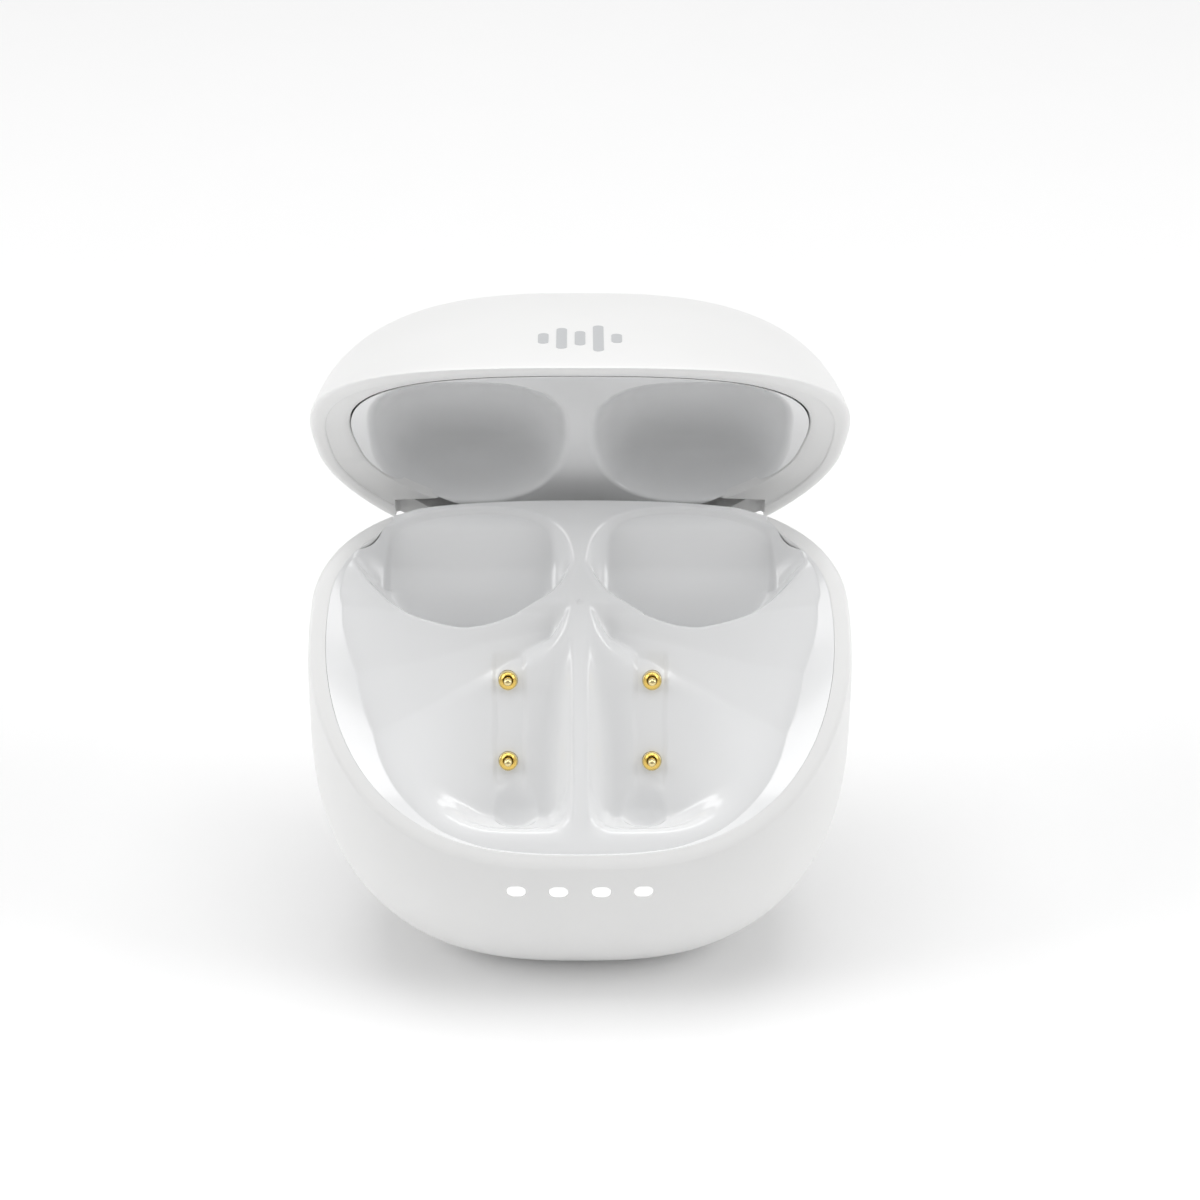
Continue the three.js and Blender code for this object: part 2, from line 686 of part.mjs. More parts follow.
const knuckle = keep(join([
  sector(BLOCK_R, -45, 50, -BLOCK_HALF, BLOCK_HALF, 14),
  sector(BLOCK_R, 44, 70, -BLOCK_HALF, -14.5, 6),
  sector(BLOCK_R, 44, 70, 14.5, BLOCK_HALF, 6),
  tube(BARREL_R, -BLOCK_HALF, BLOCK_HALF, HINGE_Y, HINGE_Z, 28),
  plate([
    [12.0, RIM_LEVEL + 2.0], [15.4, RIM_LEVEL + 2.0],
    [15.4, NOTCH_HIGH - GAP], [12.6, NOTCH_HIGH - GAP],
  ], -BLOCK_HALF, BLOCK_HALF),
]), core(0.2, RIM_LEVEL - 6, NOTCH_HIGH + 1));
const arm = keep(
  plate([
    [12.2, RIM_LEVEL + 4.0], [14.6, RIM_LEVEL + 4.0],
    [14.6, RIM_LEVEL + 9.4], [12.2, RIM_LEVEL + 9.4],
  ], -BLOCK_HALF, BLOCK_HALF),
  core(WALL + GAP, RIM_LEVEL + 3, RIM_LEVEL + 10),
);
const bore = tube(PIN_R + 0.3, -30, 30, HINGE_Y, HINGE_Z, 20);
const bracketSlots = [];
for (const sx of [-1, 1]) {
  const middle = sx * (BRACKET_X[0] + BRACKET_X[1]) / 2;
  const half = (BRACKET_X[1] - BRACKET_X[0]) / 2 + GAP;
  bracketSlots.push(sector(BLOCK_R + 1, -60, 40, middle - half, middle + half, 14));
  bracketSlots.push(tube(BARREL_R + 0.2, middle - half, middle + half, HINGE_Y, HINGE_Z, 28));
}
add(lidGroup, 'hinge_block', cut(join([knuckle, arm]), [bore, ...bracketSlots]), 'white');
for (const [side, sx] of [['left', -1], ['right', 1]]) {
  const magnet = box(sx * 24.6 - 0.9, sx * 24.6 + 0.9, -7, -4, RIM_LEVEL + 0.6, RIM_LEVEL + 2.0);
  add(lidGroup, `lid_magnet_${side}`, magnet, 'steel');
}

// Raised mark on the lid front: five level bars joined by a thin line.
const bars = [[-3.8, 1.6], [-1.9, 3.2], [0, 2.2], [1.9, 4.0], [3.8, 1.4]];
const glyph = join([
  box(-4.3, 4.3, -20, -10, MARK_Z - 0.3, MARK_Z + 0.3),
  ...bars.map(([x, h]) => box(x - 0.5, x + 0.5, -20, -10, MARK_Z - h, MARK_Z + h)),
]);
const raised = keep(glyph, core(-0.2, MARK_Z - 6, MARK_Z + 6));
add(lidGroup, 'lid_mark', cut(raised, [core(-0.05, MARK_Z - 6, MARK_Z + 6)]), 'mark');

function turnLid() {
  lidGroup.position.set(0, HINGE_Y, HINGE_Z);
  const inner = new THREE.Group();
  inner.name = 'lid_closed_frame';
  inner.position.set(0, -HINGE_Y, -HINGE_Z);
  for (const child of [...lidGroup.children]) {
    inner.add(child);
  }
  lidGroup.add(inner);
  lidGroup.rotation.x = -LID_OPEN;
}
turnLid();

const part = new THREE.Group();
part.name = 'earbuds_case';
part.add(bodyGroup);
part.add(lidGroup);
part.updateMatrixWorld(true);

export default part;
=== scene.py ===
"""Looks for the wireless earbuds case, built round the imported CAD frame."""
import json
import math

import bmesh
import bpy
import numpy as np
from mathutils import Matrix, Vector


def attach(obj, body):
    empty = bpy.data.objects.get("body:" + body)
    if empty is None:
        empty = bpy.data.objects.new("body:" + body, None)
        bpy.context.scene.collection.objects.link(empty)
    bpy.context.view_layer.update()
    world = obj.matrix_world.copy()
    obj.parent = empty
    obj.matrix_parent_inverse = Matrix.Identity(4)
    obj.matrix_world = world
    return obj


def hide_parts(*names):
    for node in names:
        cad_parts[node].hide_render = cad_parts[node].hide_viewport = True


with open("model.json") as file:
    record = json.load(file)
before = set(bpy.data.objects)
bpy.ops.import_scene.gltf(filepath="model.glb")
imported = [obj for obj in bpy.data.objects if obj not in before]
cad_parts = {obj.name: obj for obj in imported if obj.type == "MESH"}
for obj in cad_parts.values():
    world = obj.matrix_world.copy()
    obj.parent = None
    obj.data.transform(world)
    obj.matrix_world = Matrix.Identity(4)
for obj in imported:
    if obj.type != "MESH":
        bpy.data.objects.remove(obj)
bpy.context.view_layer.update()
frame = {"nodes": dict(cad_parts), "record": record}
MM = 0.001

# Outer body, in millimetres above the foot; the same sizes as the CAD part.
HALF_WIDTH, HALF_FRONT, HALF_BACK = 30.0, 18.48, 16.16
PLAN_FRONT, PLAN_BACK = 2.744, 1.956
RIM = 45.6
TOP, WIDEST, KEEL = RIM + 15.26, RIM - 15.39, RIM - 47.9
TOP_POWER, KEEL_POWER = 3.447, 2.357
MOUTH = (0.7309, -0.03001, -0.00003074)
PARTING_GAP = 0.12
WALL = 1.75

# Hinge and lid.
HINGE_Y, HINGE_Z = 10.36, RIM + 0.44
LID_OPEN = math.radians(101.8)
NOTCH_HALF = 20.8
BRACKET_X = (15.2, 17.4)
NOTCH_LOW, NOTCH_HIGH = RIM - 7.2, RIM + 6.5
NOTCH_FRONT, NOTCH_RADIUS = 7.0, 0.8
LID_LINER_BACK = 9.2
BLOCK_SWING, BLOCK_FROM, BLOCK_TO = 5.85, -152, 56
BARREL_ROOM, BARREL_TO = 2.4, 208
POCKET_FRONT, POCKET_LOW, POCKET_HIGH = 4.6, RIM - 8.2, RIM - 7.6
BEHIND = 22.0

# Earbud seats and charging pins.
SEAT_X, SEAT_Y = 12.8, 4.0
FLOOR_Y, FLOOR_Z, FLOOR_SLOPE = -5.1, RIM - 7.5, 1.88
STEM_END = RIM - 21.0
PIN_X = 7.87
PIN_Y = (-5.1, -9.3)

# Lights, socket and mark.
LIGHT_X = (-7.0, -2.35, 2.35, 7.0)
LIGHT_Z, LIGHT_W, LIGHT_H, LIGHT_RADIUS = RIM - 27.1, 2.2, 1.75, 0.82
LIGHT_GAP, LIGHT_SUNK, LIGHT_DEPTH = 0.06, 0.06, 2.2
USB_Z, USB_HALF_W, USB_HALF_H, USB_RADIUS = RIM - 28.0, 4.7, 1.9, 1.85
MARK_Z, MARK_HALF_W, MARK_PROUD, MARK_DEPTH = RIM - 14.0, 0.55, 0.04, 0.1
# Bars of the mark, as centre x and half height.
MARK_BARS = ((-3.8, 1.6), (-1.9, 3.2), (0, 2.2), (1.9, 4.0), (3.8, 1.4))


# ---- shared shape functions --------------------------------------------------
def ease(a, b, v):
    """Smooth step from 0 at a to 1 at b."""
    t = np.clip((v - a) / (b - a), 0, 1)
    return t * t * (3 - 2 * t)


def soft_min(a, b, k):
    """Lower of two surfaces, blended over the height k."""
    h = np.clip(0.5 + 0.5 * (b - a) / k, 0, 1)
    return b + (a - b) * h - k * h * (1 - h)


def soft_max(a, b, k):
    return -soft_min(-a, -b, k)


def mouth(y):
    """Height of the parting surface."""
    return RIM + MOUTH[0] * y + MOUTH[1] * y * y + MOUTH[2] * y ** 3


def mouth_slope(y):
    return MOUTH[0] + 2 * MOUTH[1] * y + 3 * MOUTH[2] * y * y


def plan(t):
    """Widest outline at plan angle t."""
    c, s = np.cos(t), np.sin(t)
    n = np.where(s < 0, PLAN_FRONT, PLAN_BACK)
    x = HALF_WIDTH * np.sign(c) * np.abs(c) ** (2 / n)
    y = np.where(s < 0, -HALF_FRONT, HALF_BACK) * np.abs(s) ** (2 / n)
    return x, y


def shrink(z, inset):
    """Size of the outline at height z, as a share of the widest one."""
    up = np.clip((z - WIDEST) / (TOP - inset - WIDEST), 0, 1)
    down = np.clip((WIDEST - z) / (WIDEST - KEEL - inset), 0, 1)
    high = (1 - up ** TOP_POWER) ** (1 / TOP_POWER)
    low = (1 - down ** KEEL_POWER) ** (1 / KEEL_POWER)
    return np.where(z >= WIDEST, high, low)


def skin(t, z, inset):
    """Point of the body's skin, or of one inset from it."""
    x, y = plan(t)
    k = shrink(z, inset)
    half = np.where(y < 0, HALF_FRONT, HALF_BACK)
    px = x * k * (HALF_WIDTH - inset) / HALF_WIDTH
    py = y * k * (half - inset) / half
    return np.stack([px, py, z + 0 * px], -1)


def rim_width(t):
    """Wall thickness at plan angle t, so that the rim band looks equally wide all round."""
    x, y = plan(t)
    n = np.where(y < 0, PLAN_FRONT, PLAN_BACK)
    half = np.where(y < 0, HALF_FRONT, HALF_BACK)
    nx = np.abs(x / HALF_WIDTH) ** (n - 1) / HALF_WIDTH
    ny = np.abs(y / half) ** (n - 1) / half
    across = ny / np.sqrt(nx * nx + ny * ny)
    return WALL / np.sqrt(1 + (mouth_slope(y) * across) ** 2)


def rim_point(t, inset, lift):
    """Point where a skin meets the parting surface raised by lift."""
    z = mouth(0.0 * t)
    for _ in range(40):
        z = 0.5 * z + 0.5 * (mouth(skin(t, z, inset)[..., 1]) + lift)
    return skin(t, z, inset)


# ---- mesh helpers ------------------------------------------------------------
def new_mesh(name, verts, faces, smooth_angle=35):
    mesh = bpy.data.meshes.new(name)
    mesh.from_pydata([tuple(v) for v in np.asarray(verts) * MM], [], faces)
    obj = bpy.data.objects.new(name, mesh)
    bpy.context.collection.objects.link(obj)
    tidy(obj, smooth_angle)
    return obj


def tidy(obj, smooth_angle):
    bm = bmesh.new()
    bm.from_mesh(obj.data)
    bmesh.ops.remove_doubles(bm, verts=bm.verts, dist=1e-6)
    bmesh.ops.dissolve_degenerate(bm, edges=bm.edges, dist=1e-7)
    bmesh.ops.recalc_face_normals(bm, faces=bm.faces)
    bm.to_mesh(obj.data)
    bm.free()
    obj.data.shade_smooth()
    obj.data.set_sharp_from_angle(angle=math.radians(smooth_angle))


def grid_faces(rows, cols, wrap=False, start=0):
    faces = []
    last = cols if wrap else cols - 1
    for i in range(rows - 1):
        for j in range(last):
            a = start + i * cols + j
            b = start + i * cols + (j + 1) % cols
            faces.append((a, b, b + cols, a + cols))
    return faces


def loft(name, rings, smooth_angle=35):
    rings = np.asarray(rings)
    rows, cols = rings.shape[:2]
    faces = grid_faces(rows, cols, wrap=True)
    faces.append(tuple(range(cols))[::-1])
    faces.append(tuple(range((rows - 1) * cols, rows * cols)))
    return new_mesh(name, rings.reshape(-1, 3), faces, smooth_angle)


def prism(name, outline, start, end, place):
    """Solid between two levels; place turns a level and an outline point into a position."""
    n = len(outline)
    verts = [place(level, a, b) for level in (start, end) for a, b in outline]
    faces = [tuple(range(n)), tuple(range(2 * n - 1, n - 1, -1))]
    faces += [(i, (i + 1) % n, n + (i + 1) % n, n + i) for i in range(n)]
    return new_mesh(name, verts, faces)


def along_x(x, y, z):
    return x, y, z


def along_z(z, x, y):
    return x, y, z


def cut(obj, tools, smooth_angle=35):
    for tool in tools:
        mod = obj.modifiers.new("cut", "BOOLEAN")
        mod.operation = "DIFFERENCE"
        mod.solver = "EXACT"
        mod.object = tool
    bpy.context.view_layer.update()
    depsgraph = bpy.context.evaluated_depsgraph_get()
    baked = bpy.data.meshes.new_from_object(obj.evaluated_get(depsgraph))
    obj.modifiers.clear()
    obj.data = baked
    for tool in tools:
        bpy.data.objects.remove(tool)
    tidy(obj, smooth_angle)


def rounded_box(name, low, high, radius, axis=None, segments=4):
    bm = bmesh.new()
    bmesh.ops.create_cube(bm, size=1)
    low, high = Vector(low), Vector(high)
    for v in bm.verts:
        v.co = Vector([low[i] + (v.co[i] + 0.5) * (high[i] - low[i]) for i in range(3)]) * MM
    edges = list(bm.edges)
    if axis is not None:
        edges = [e for e in edges if abs((e.verts[0].co - e.verts[1].co).normalized()[axis]) > 0.9]
    bmesh.ops.bevel(bm, geom=edges, offset=radius * MM, segments=segments, profile=0.5, affect="EDGES")
    mesh = bpy.data.meshes.new(name)
    bm.to_mesh(mesh)
    bm.free()
    obj = bpy.data.objects.new(name, mesh)
    bpy.context.collection.objects.link(obj)
    tidy(obj, 35)
    return obj


def open_lid(obj):
    """Turns a piece made in the shut position to the open rest position."""
    centre = Vector((0, HINGE_Y, HINGE_Z)) * MM
    turn = Matrix.Rotation(-LID_OPEN, 4, "X")
    obj.data.transform(Matrix.Translation(centre) @ turn @ Matrix.Translation(-centre))
    obj.data.update()


def show(obj, body, slot, material, *nodes):
    obj.data.materials.clear()
    obj.data.materials.append(material)
    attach(obj, body)
    if nodes:
        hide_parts(*nodes)


# ---- materials ---------------------------------------------------------------
ROUGH_SPREAD, COAT_ROUGH = 0.03, 0.06
DRIFT_SCALE, GLOSS_SCALE, GRAIN_HEIGHT = 60.0, 240.0, 0.00004


def moulded(name, colour, rough, grain=0.0, grain_scale=900.0, tint=0.015, coat=0.0, metal=0.0):
    """Moulded plastic or plated metal: faint colour drift, uneven gloss and a fine surface grain."""
    mat = bpy.data.materials.new(name)
    mat.use_nodes = True
    nodes, links = mat.node_tree.nodes, mat.node_tree.links
    shader = nodes["Principled BSDF"]
    shader.inputs["Metallic"].default_value = metal
    shader.inputs["Coat Weight"].default_value = coat
    shader.inputs["Coat Roughness"].default_value = COAT_ROUGH
    coords = nodes.new("ShaderNodeTexCoord")

    def noise(scale, detail):
        n = nodes.new("ShaderNodeTexNoise")
        n.inputs["Scale"].default_value = scale
        n.inputs["Detail"].default_value = detail
        links.new(coords.outputs["Object"], n.inputs["Vector"])
        return n

    drift = noise(DRIFT_SCALE, 3.0)
    ramp = nodes.new("ShaderNodeValToRGB")
    ramp.color_ramp.elements[0].position = 0.3
    ramp.color_ramp.elements[1].position = 0.7
    ramp.color_ramp.elements[0].color = (*[max(0, c - tint) for c in colour], 1)
    ramp.color_ramp.elements[1].color = (*colour, 1)
    links.new(drift.outputs["Fac"], ramp.inputs["Fac"])
    links.new(ramp.outputs["Color"], shader.inputs["Base Color"])

    gloss = noise(GLOSS_SCALE, 4.0)
    span = nodes.new("ShaderNodeMapRange")
    span.inputs["To Min"].default_value = rough - ROUGH_SPREAD
    span.inputs["To Max"].default_value = rough + ROUGH_SPREAD
    links.new(gloss.outputs["Fac"], span.inputs["Value"])
    links.new(span.outputs["Result"], shader.inputs["Roughness"])

    if grain:
        fine = noise(grain_scale, 2.0)
        bump = nodes.new("ShaderNodeBump")
        bump.inputs["Strength"].default_value = grain
        bump.inputs["Distance"].default_value = GRAIN_HEIGHT
        links.new(fine.outputs["Fac"], bump.inputs["Height"])
        links.new(bump.outputs["Normal"], shader.inputs["Normal"])
    return mat


SATIN = moulded("satin_shell", (0.86, 0.86, 0.855), 0.36, grain=0.25, grain_scale=2600.0)
GLOSS = moulded("gloss_liner", (0.85, 0.855, 0.86), 0.2, coat=0.3)
GOLD = moulded("gold_plate", (0.95, 0.80, 0.42), 0.24, metal=1.0, tint=0.05, grain=0.1)
STEEL = moulded("steel", (0.62, 0.63, 0.65), 0.28, metal=1.0, tint=0.04, grain=0.2)
BOARD = moulded("circuit_board", (0.03, 0.16, 0.08), 0.45, tint=0.02, grain=0.4, coat=0.3)
BLACK = moulded("black_plastic", (0.02, 0.02, 0.022), 0.4, tint=0.005, grain=0.3)
CELL = moulded("cell_wrap", (0.55, 0.57, 0.60), 0.35, metal=0.6, tint=0.05, grain=0.3,
               grain_scale=400.0)
FOAM = moulded("foam_pad", (0.05, 0.05, 0.052), 0.95, tint=0.02, grain=1.0, grain_scale=1500.0)
WINDOW = moulded("light_window", (0.97, 0.97, 0.97), 0.3, tint=0.01, grain=0.1)
glow = WINDOW.node_tree.nodes["Principled BSDF"].inputs
glow["Emission Color"].default_value = (1, 1, 1, 1)
glow["Emission Strength"].default_value = 0.35
PRINT = moulded("grey_print", (0.56, 0.57, 0.58), 0.4, tint=0.02, grain=0.2)

LOOKS = {
    "satin_white": SATIN,
    "gloss_white": GLOSS,
    "gold": GOLD,
    "steel": STEEL,
    "circuit_board": BOARD,
    "black_plastic": BLACK,
    "cell": CELL,
    "foam": FOAM,
    "light_window": WINDOW,
    "grey_print": PRINT,
}
for entry in frame["record"]["subparts"]:
    node = frame["nodes"][entry["node"]]
    node.data.materials.clear()
    node.data.materials.append(LOOKS[entry["material_slot"]])

# ---- shells ------------------------------------------------------------------
AROUND = 288
ANGLES = 2 * np.pi * np.arange(AROUND) / AROUND
BASE_WALL = rim_width(ANGLES)
LID_WALL = np.full(AROUND, WALL)
# Radii of the rim's outer and inner edges, and how close the shells' ends come to the poles.
BASE_ROUND, LID_ROUND = (0.4, 0.1), (1.1, 0.2)
POLE_GAP = 0.02
# Inset of the lid's inner band, for plan angles from the front (-90) to the back (90).
BAND_AT = (-90, -60, -20, 0, 30, 90)
BAND_INSET = (2.6, 2.9, 3.8, 4.2, 4.3, 4.3)
BAND_START, BAND_LIFT = 0.35, 0.9


def band_inset(t):
    """Inset of the lid's inner band at plan angle t."""
    x, y = np.cos(t), np.sin(t)
    return np.interp(np.degrees(np.arctan2(y, np.abs(x))), BAND_AT, BAND_INSET)


def narrow(t):
    """Share of the base's rim width left beside the deck."""
    x, y = plan(t)
    return np.where(y > 0, 0.12 + 0.88 * ease(NOTCH_HALF - 0.5, 26.5, np.abs(x)), 1.0)


def wall_rings(end, steps, inset, lift):
    """Rings of a skin from its end height to just short of the rim."""
    rim = rim_point(ANGLES, inset, lift)[:, 2]
    rings = []
    for i in range(steps + 1):
        g = math.sin((1 - i / steps) * math.pi / 2)
        rings.append(skin(ANGLES, rim + (end - rim) * g, inset))
    return rings


def rim_rings(sign, r_out, r_in, gap, thick):
    """Rings over the rim from the outer skin to the inner one, with both edges rounded."""
    rings = []
    for phi in np.linspace(0, math.pi / 2, 9):
        across, down = r_out * (1 - math.cos(phi)), r_out * (1 - math.sin(phi))
        rings.append(rim_point(ANGLES, across, sign * (gap + down)))
    for phi in np.linspace(math.pi / 2, 0, 5):
        across, down = r_in * (1 - math.cos(phi)), r_in * (1 - math.sin(phi))
        rings.append(rim_point(ANGLES, thick - across, sign * (gap + down)))
    return rings


def make_shell(name, sign, end, inner_end, r_out, r_in, wall, rim_share, band=None):
    """Shell half closed at its pole, above the rim for sign 1 and below it for -1.

    band is the inset of a sloped inner band at each plan angle, if there is one.
    """
    outer = wall_rings(end, 44, 0.0, sign * (PARTING_GAP + r_out))[:-1]
    rim = rim_rings(sign, r_out, r_in, PARTING_GAP, wall * rim_share)
    if band is None:
        rim.append(rim_point(ANGLES, wall * rim_share, sign * 1.5))
        start = 1.7
    else:
        for f in (0.03, 0.33, 0.66, 0.97):
            lift = BAND_START + (BAND_LIFT - BAND_START) * f
            rim.append(rim_point(ANGLES, wall + (band - wall) * f, sign * lift))
        for above in (0.1, 1.2):
            rim.append(rim_point(ANGLES, band, sign * (BAND_LIFT + above)))
        start = BAND_LIFT + 1.3
    inner = wall_rings(inner_end, 20, wall, sign * start)[::-1]
    return loft(name, outer + rim + inner)


base_shell = make_shell("base_shell_skin", -1, POLE_GAP, WALL, *BASE_ROUND, BASE_WALL, narrow(ANGLES))
holes = []
for x in LIGHT_X:
    low = (x - LIGHT_W / 2, -BEHIND, LIGHT_Z - LIGHT_H / 2)
    high = (x + LIGHT_W / 2, -10, LIGHT_Z + LIGHT_H / 2)
    holes.append(rounded_box("hole", low, high, LIGHT_RADIUS, axis=1, segments=8))
low, high = (-NOTCH_HALF, NOTCH_FRONT, NOTCH_LOW), (NOTCH_HALF, BEHIND, RIM + 12)
holes.append(rounded_box("hole", low, high, NOTCH_RADIUS, axis=1))
low, high = (-USB_HALF_W, 8, USB_Z - USB_HALF_H), (USB_HALF_W, BEHIND, USB_Z + USB_HALF_H)
holes.append(rounded_box("hole", low, high, USB_RADIUS, axis=1, segments=8))
cut(base_shell, holes)
show(base_shell, "base", "satin_white", SATIN, "base_shell")

lid_shell = make_shell("lid_shell_skin", 1, TOP - POLE_GAP, TOP - WALL - POLE_GAP, *LID_ROUND, LID_WALL,
                       1.0, band_inset(ANGLES))
low, high = (-NOTCH_HALF, NOTCH_FRONT, RIM - 12), (NOTCH_HALF, BEHIND, NOTCH_HIGH)
cut(lid_shell, [rounded_box("hole", low, high, NOTCH_RADIUS, axis=1)])
open_lid(lid_shell)
show(lid_shell, "lid", "satin_white", SATIN, "lid_shell")


# ---- liners ------------------------------------------------------------------
def from_edge(x, y):
    """Rough distance inwards from the liner's outline in millimetres, and the plan angle there."""
    z = mouth(y)
    n = np.where(y < 0, PLAN_FRONT, PLAN_BACK)
    inset = 1.3
    for _ in range(2):
        k = shrink(z, inset)
        rx = np.abs(x) / (k * (HALF_WIDTH - inset))
        ry = np.abs(y) / (k * (np.where(y < 0, HALF_FRONT, HALF_BACK) - inset))
        t = np.sign(y) * np.arctan2(ry ** (n / 2), rx ** (n / 2))
        inset = rim_width(t)
    r = (rx ** n + ry ** n) ** (1 / n)
    return (1 - r) * np.sqrt(x * x + y * y) / np.maximum(r, 1e-3), t


# Width of the liner's bevel below the rim, for plan angles from the front (-90) to the back (90).
BEVEL_AT = (-90, -76, -65, -56, -44, -29, -12, -2, 4, 15, 90)
BEVEL_WIDTH = (0.3, 0.35, 0.8, 1.5, 2.4, 3.7, 3.2, 1.6, 0.8, 0.3, 0.3)
# Lowest surface that still covers the hinge, as y and height over the rim level.
GUARD = ((-4, -13), (0.5, -8), (2.2, -5), (3.3, -3.2), (4.4, -1.9), (6.1, -0.5), (6.8, 0.5),
         (7.2, 1.9), (7.9, 2.9), (9.0, 3.7), (10.4, 4.0), (20, 4.4))


def guard(y):
    """Height of that surface, averaged over a short distance to round its corners."""
    ys, zs = zip(*GUARD)
    reach = np.linspace(-0.9, 0.9, 9)
    return RIM + 0.12 + sum(np.interp(y + r, ys, zs) for r in reach) / len(reach)


LIP_RADIUS = 0.6
LINER_SMOOTH = 76
DECK_BACK, DECK_BOW, DECK_POWER = 12.1, 2.1, 2.4
DECK_RISE = 0.5
# Bevel: depth at the rim, step and slope of the bevel, then the fall over a distance inside it.
EDGE_DEPTH, BEVEL_STEP, BEVEL_SLOPE = 0.1, 0.15, 0.5
INNER_FALL, INNER_REACH = 0.6, 7
# Ridge between the troughs, as distances from the middle plane.
RIDGE_HALF, RIDGE_FOOT, RIDGE_DEPTH = 0.8, 3.4, 0.45
# Stem troughs: their sides, then the inset strip under the pins and the pocket for the stem's tip.
TROUGH_RISE, TROUGH_POWER, TROUGH_SIDE = 3.4, 2.4, (8.8, 18.3)
TROUGH_BLEND, TROUGH_END_BLEND = 0.5, 0.7
STRIP_INNER, STRIP_OUTER = (6.0, 6.12), (9.3, 9.42)
STRIP_FRONT, STRIP_BACK, STRIP_DEPTH = (-10.9, -10.3), (-3.0, -2.4), 0.3
TIP_X, TIP_Y, TIP_RX, TIP_RY, TIP_DEPTH = 7.05, -12.1, 2.5, 1.7, 1.3
# Seats: reach sideways, to the back and to the front, with the powers of their outlines.
SEAT_REACH, SEAT_BACK, SEAT_SLANT, SEAT_FRONT = 11.9, 6.3, 0.1, 4.9
SEAT_BACK_POWER, SEAT_FRONT_POWER, SEAT_STEEP = 2.1, 1.65, 1.25
SEAT_DEPTH, SEAT_SIDE_RISE, SEAT_SIDE, SEAT_CLIP = 13.0, 5.0, (14, 24), 1.6
# Lid domes: middle, half sizes, height and shape.
DOME_X, DOME_Y, DOME_RX, DOME_RY = 12.2, -3.3, 10.7, 10.5
DOME_HEIGHT, DOME_POWER, DOME_STEEP, DOME_CLIP, DOME_BLEND = 9.5, 2.5, 1.3, 1.4, 1.3
# Gaps round the liners' edges, and how far their skirts reach.
BASE_LINER_GAP, LID_LINER_GAP, SKIN_GAP, EDGE_DROP, SKIRT = 0.03, 0.2, 0.15, 0.3, 1.2


def deck_end(x):
    """Where the raised deck ends at the back."""
    return DECK_BACK - DECK_BOW * (np.abs(x) / NOTCH_HALF) ** DECK_POWER


def base_surface(x, y):
    """Top of the base liner: the deck, the two stem troughs and the two seats."""
    u = np.abs(x)
    steep = np.sqrt(1 + mouth_slope(y) ** 2)
    d, t = from_edge(x, y)
    bevel = np.interp(np.degrees(t), BEVEL_AT, BEVEL_WIDTH)
    depth = EDGE_DEPTH + (BEVEL_STEP + BEVEL_SLOPE * bevel) * np.clip(d / bevel, 0, 1)
    depth = depth + INNER_FALL * ease(bevel, bevel + INNER_REACH, d)
    ridge = 1 - ease(RIDGE_HALF, RIDGE_FOOT, u)
    depth = depth + (RIDGE_DEPTH - depth) * ridge * ease(0.5, 2.5, d)
    back = ease(0.5, 8, y)
    raised = np.maximum(1 - ease(17.0, NOTCH_HALF, u), ease(0.3, 3.0, d))
    level = mouth(y) - (1 - back) * steep * depth + back * DECK_RISE * raised
    lip = np.where(u < NOTCH_HALF, np.clip(deck_end(x) - y, 0, LIP_RADIUS), LIP_RADIUS)
    level = level - LIP_RADIUS + np.sqrt(LIP_RADIUS ** 2 - (LIP_RADIUS - lip) ** 2)

    slope = FLOOR_Z + (y - FLOOR_Y) * FLOOR_SLOPE
    floor = soft_max(soft_min(slope, level, TROUGH_BLEND), STEM_END, TROUGH_END_BLEND)
    inner = 1 - (1 - np.clip((u - RIDGE_HALF) / TROUGH_RISE, 0, 1)) ** TROUGH_POWER
    outer = 1 - ease(*TROUGH_SIDE, u)
    stem = level + np.minimum(0, floor - level) * inner * outer * ease(0.5, 4.0, d)
    strip = ease(*STRIP_INNER, u) * (1 - ease(*STRIP_OUTER, u))
    strip = strip * ease(*STRIP_FRONT, y) * (1 - ease(*STRIP_BACK, y))
    tip = 1 - np.clip(((u - TIP_X) / TIP_RX) ** 2 + ((y - TIP_Y) / TIP_RY) ** 2, 0, 1)
    stem = stem - STRIP_DEPTH * strip - TIP_DEPTH * tip

    rise = np.where(y > SEAT_Y, SEAT_BACK + SEAT_SLANT * (SEAT_X - u), SEAT_FRONT)
    power = np.where(y > SEAT_Y, SEAT_BACK_POWER, SEAT_FRONT_POWER)
    q = np.abs((u - SEAT_X) / SEAT_REACH) ** power + np.abs((y - SEAT_Y) / rise) ** power
    fall = SEAT_DEPTH - SEAT_SIDE_RISE * ease(*SEAT_SIDE, u)
    bowl = level - fall * (1 - np.clip(q, 0, SEAT_CLIP) ** SEAT_STEEP)
    cover = guard(y) - 5.0 * ease(NOTCH_HALF, 23.5, u)
    seat = soft_max(bowl, cover, 0.6 + 1.9 * (1 - ease(4, 8, y)))
    return soft_min(stem, seat, 0.5 + 1.5 * (1 - ease(2, 6, y)) * (1 - ease(19, 24, u)))


def lid_surface(x, y):
    """Underside of the lid liner, made shut: a rim level and a dome over each seat."""
    u = np.abs(x)
    level = mouth(y) + BAND_LIFT
    q = np.abs((u - DOME_X) / DOME_RX) ** DOME_POWER
    q = q + np.abs((y - DOME_Y) / DOME_RY) ** DOME_POWER
    dome = level + DOME_HEIGHT * (1 - np.clip(q, 0, DOME_CLIP) ** DOME_STEEP)
    return soft_max(level, dome, DOME_BLEND)


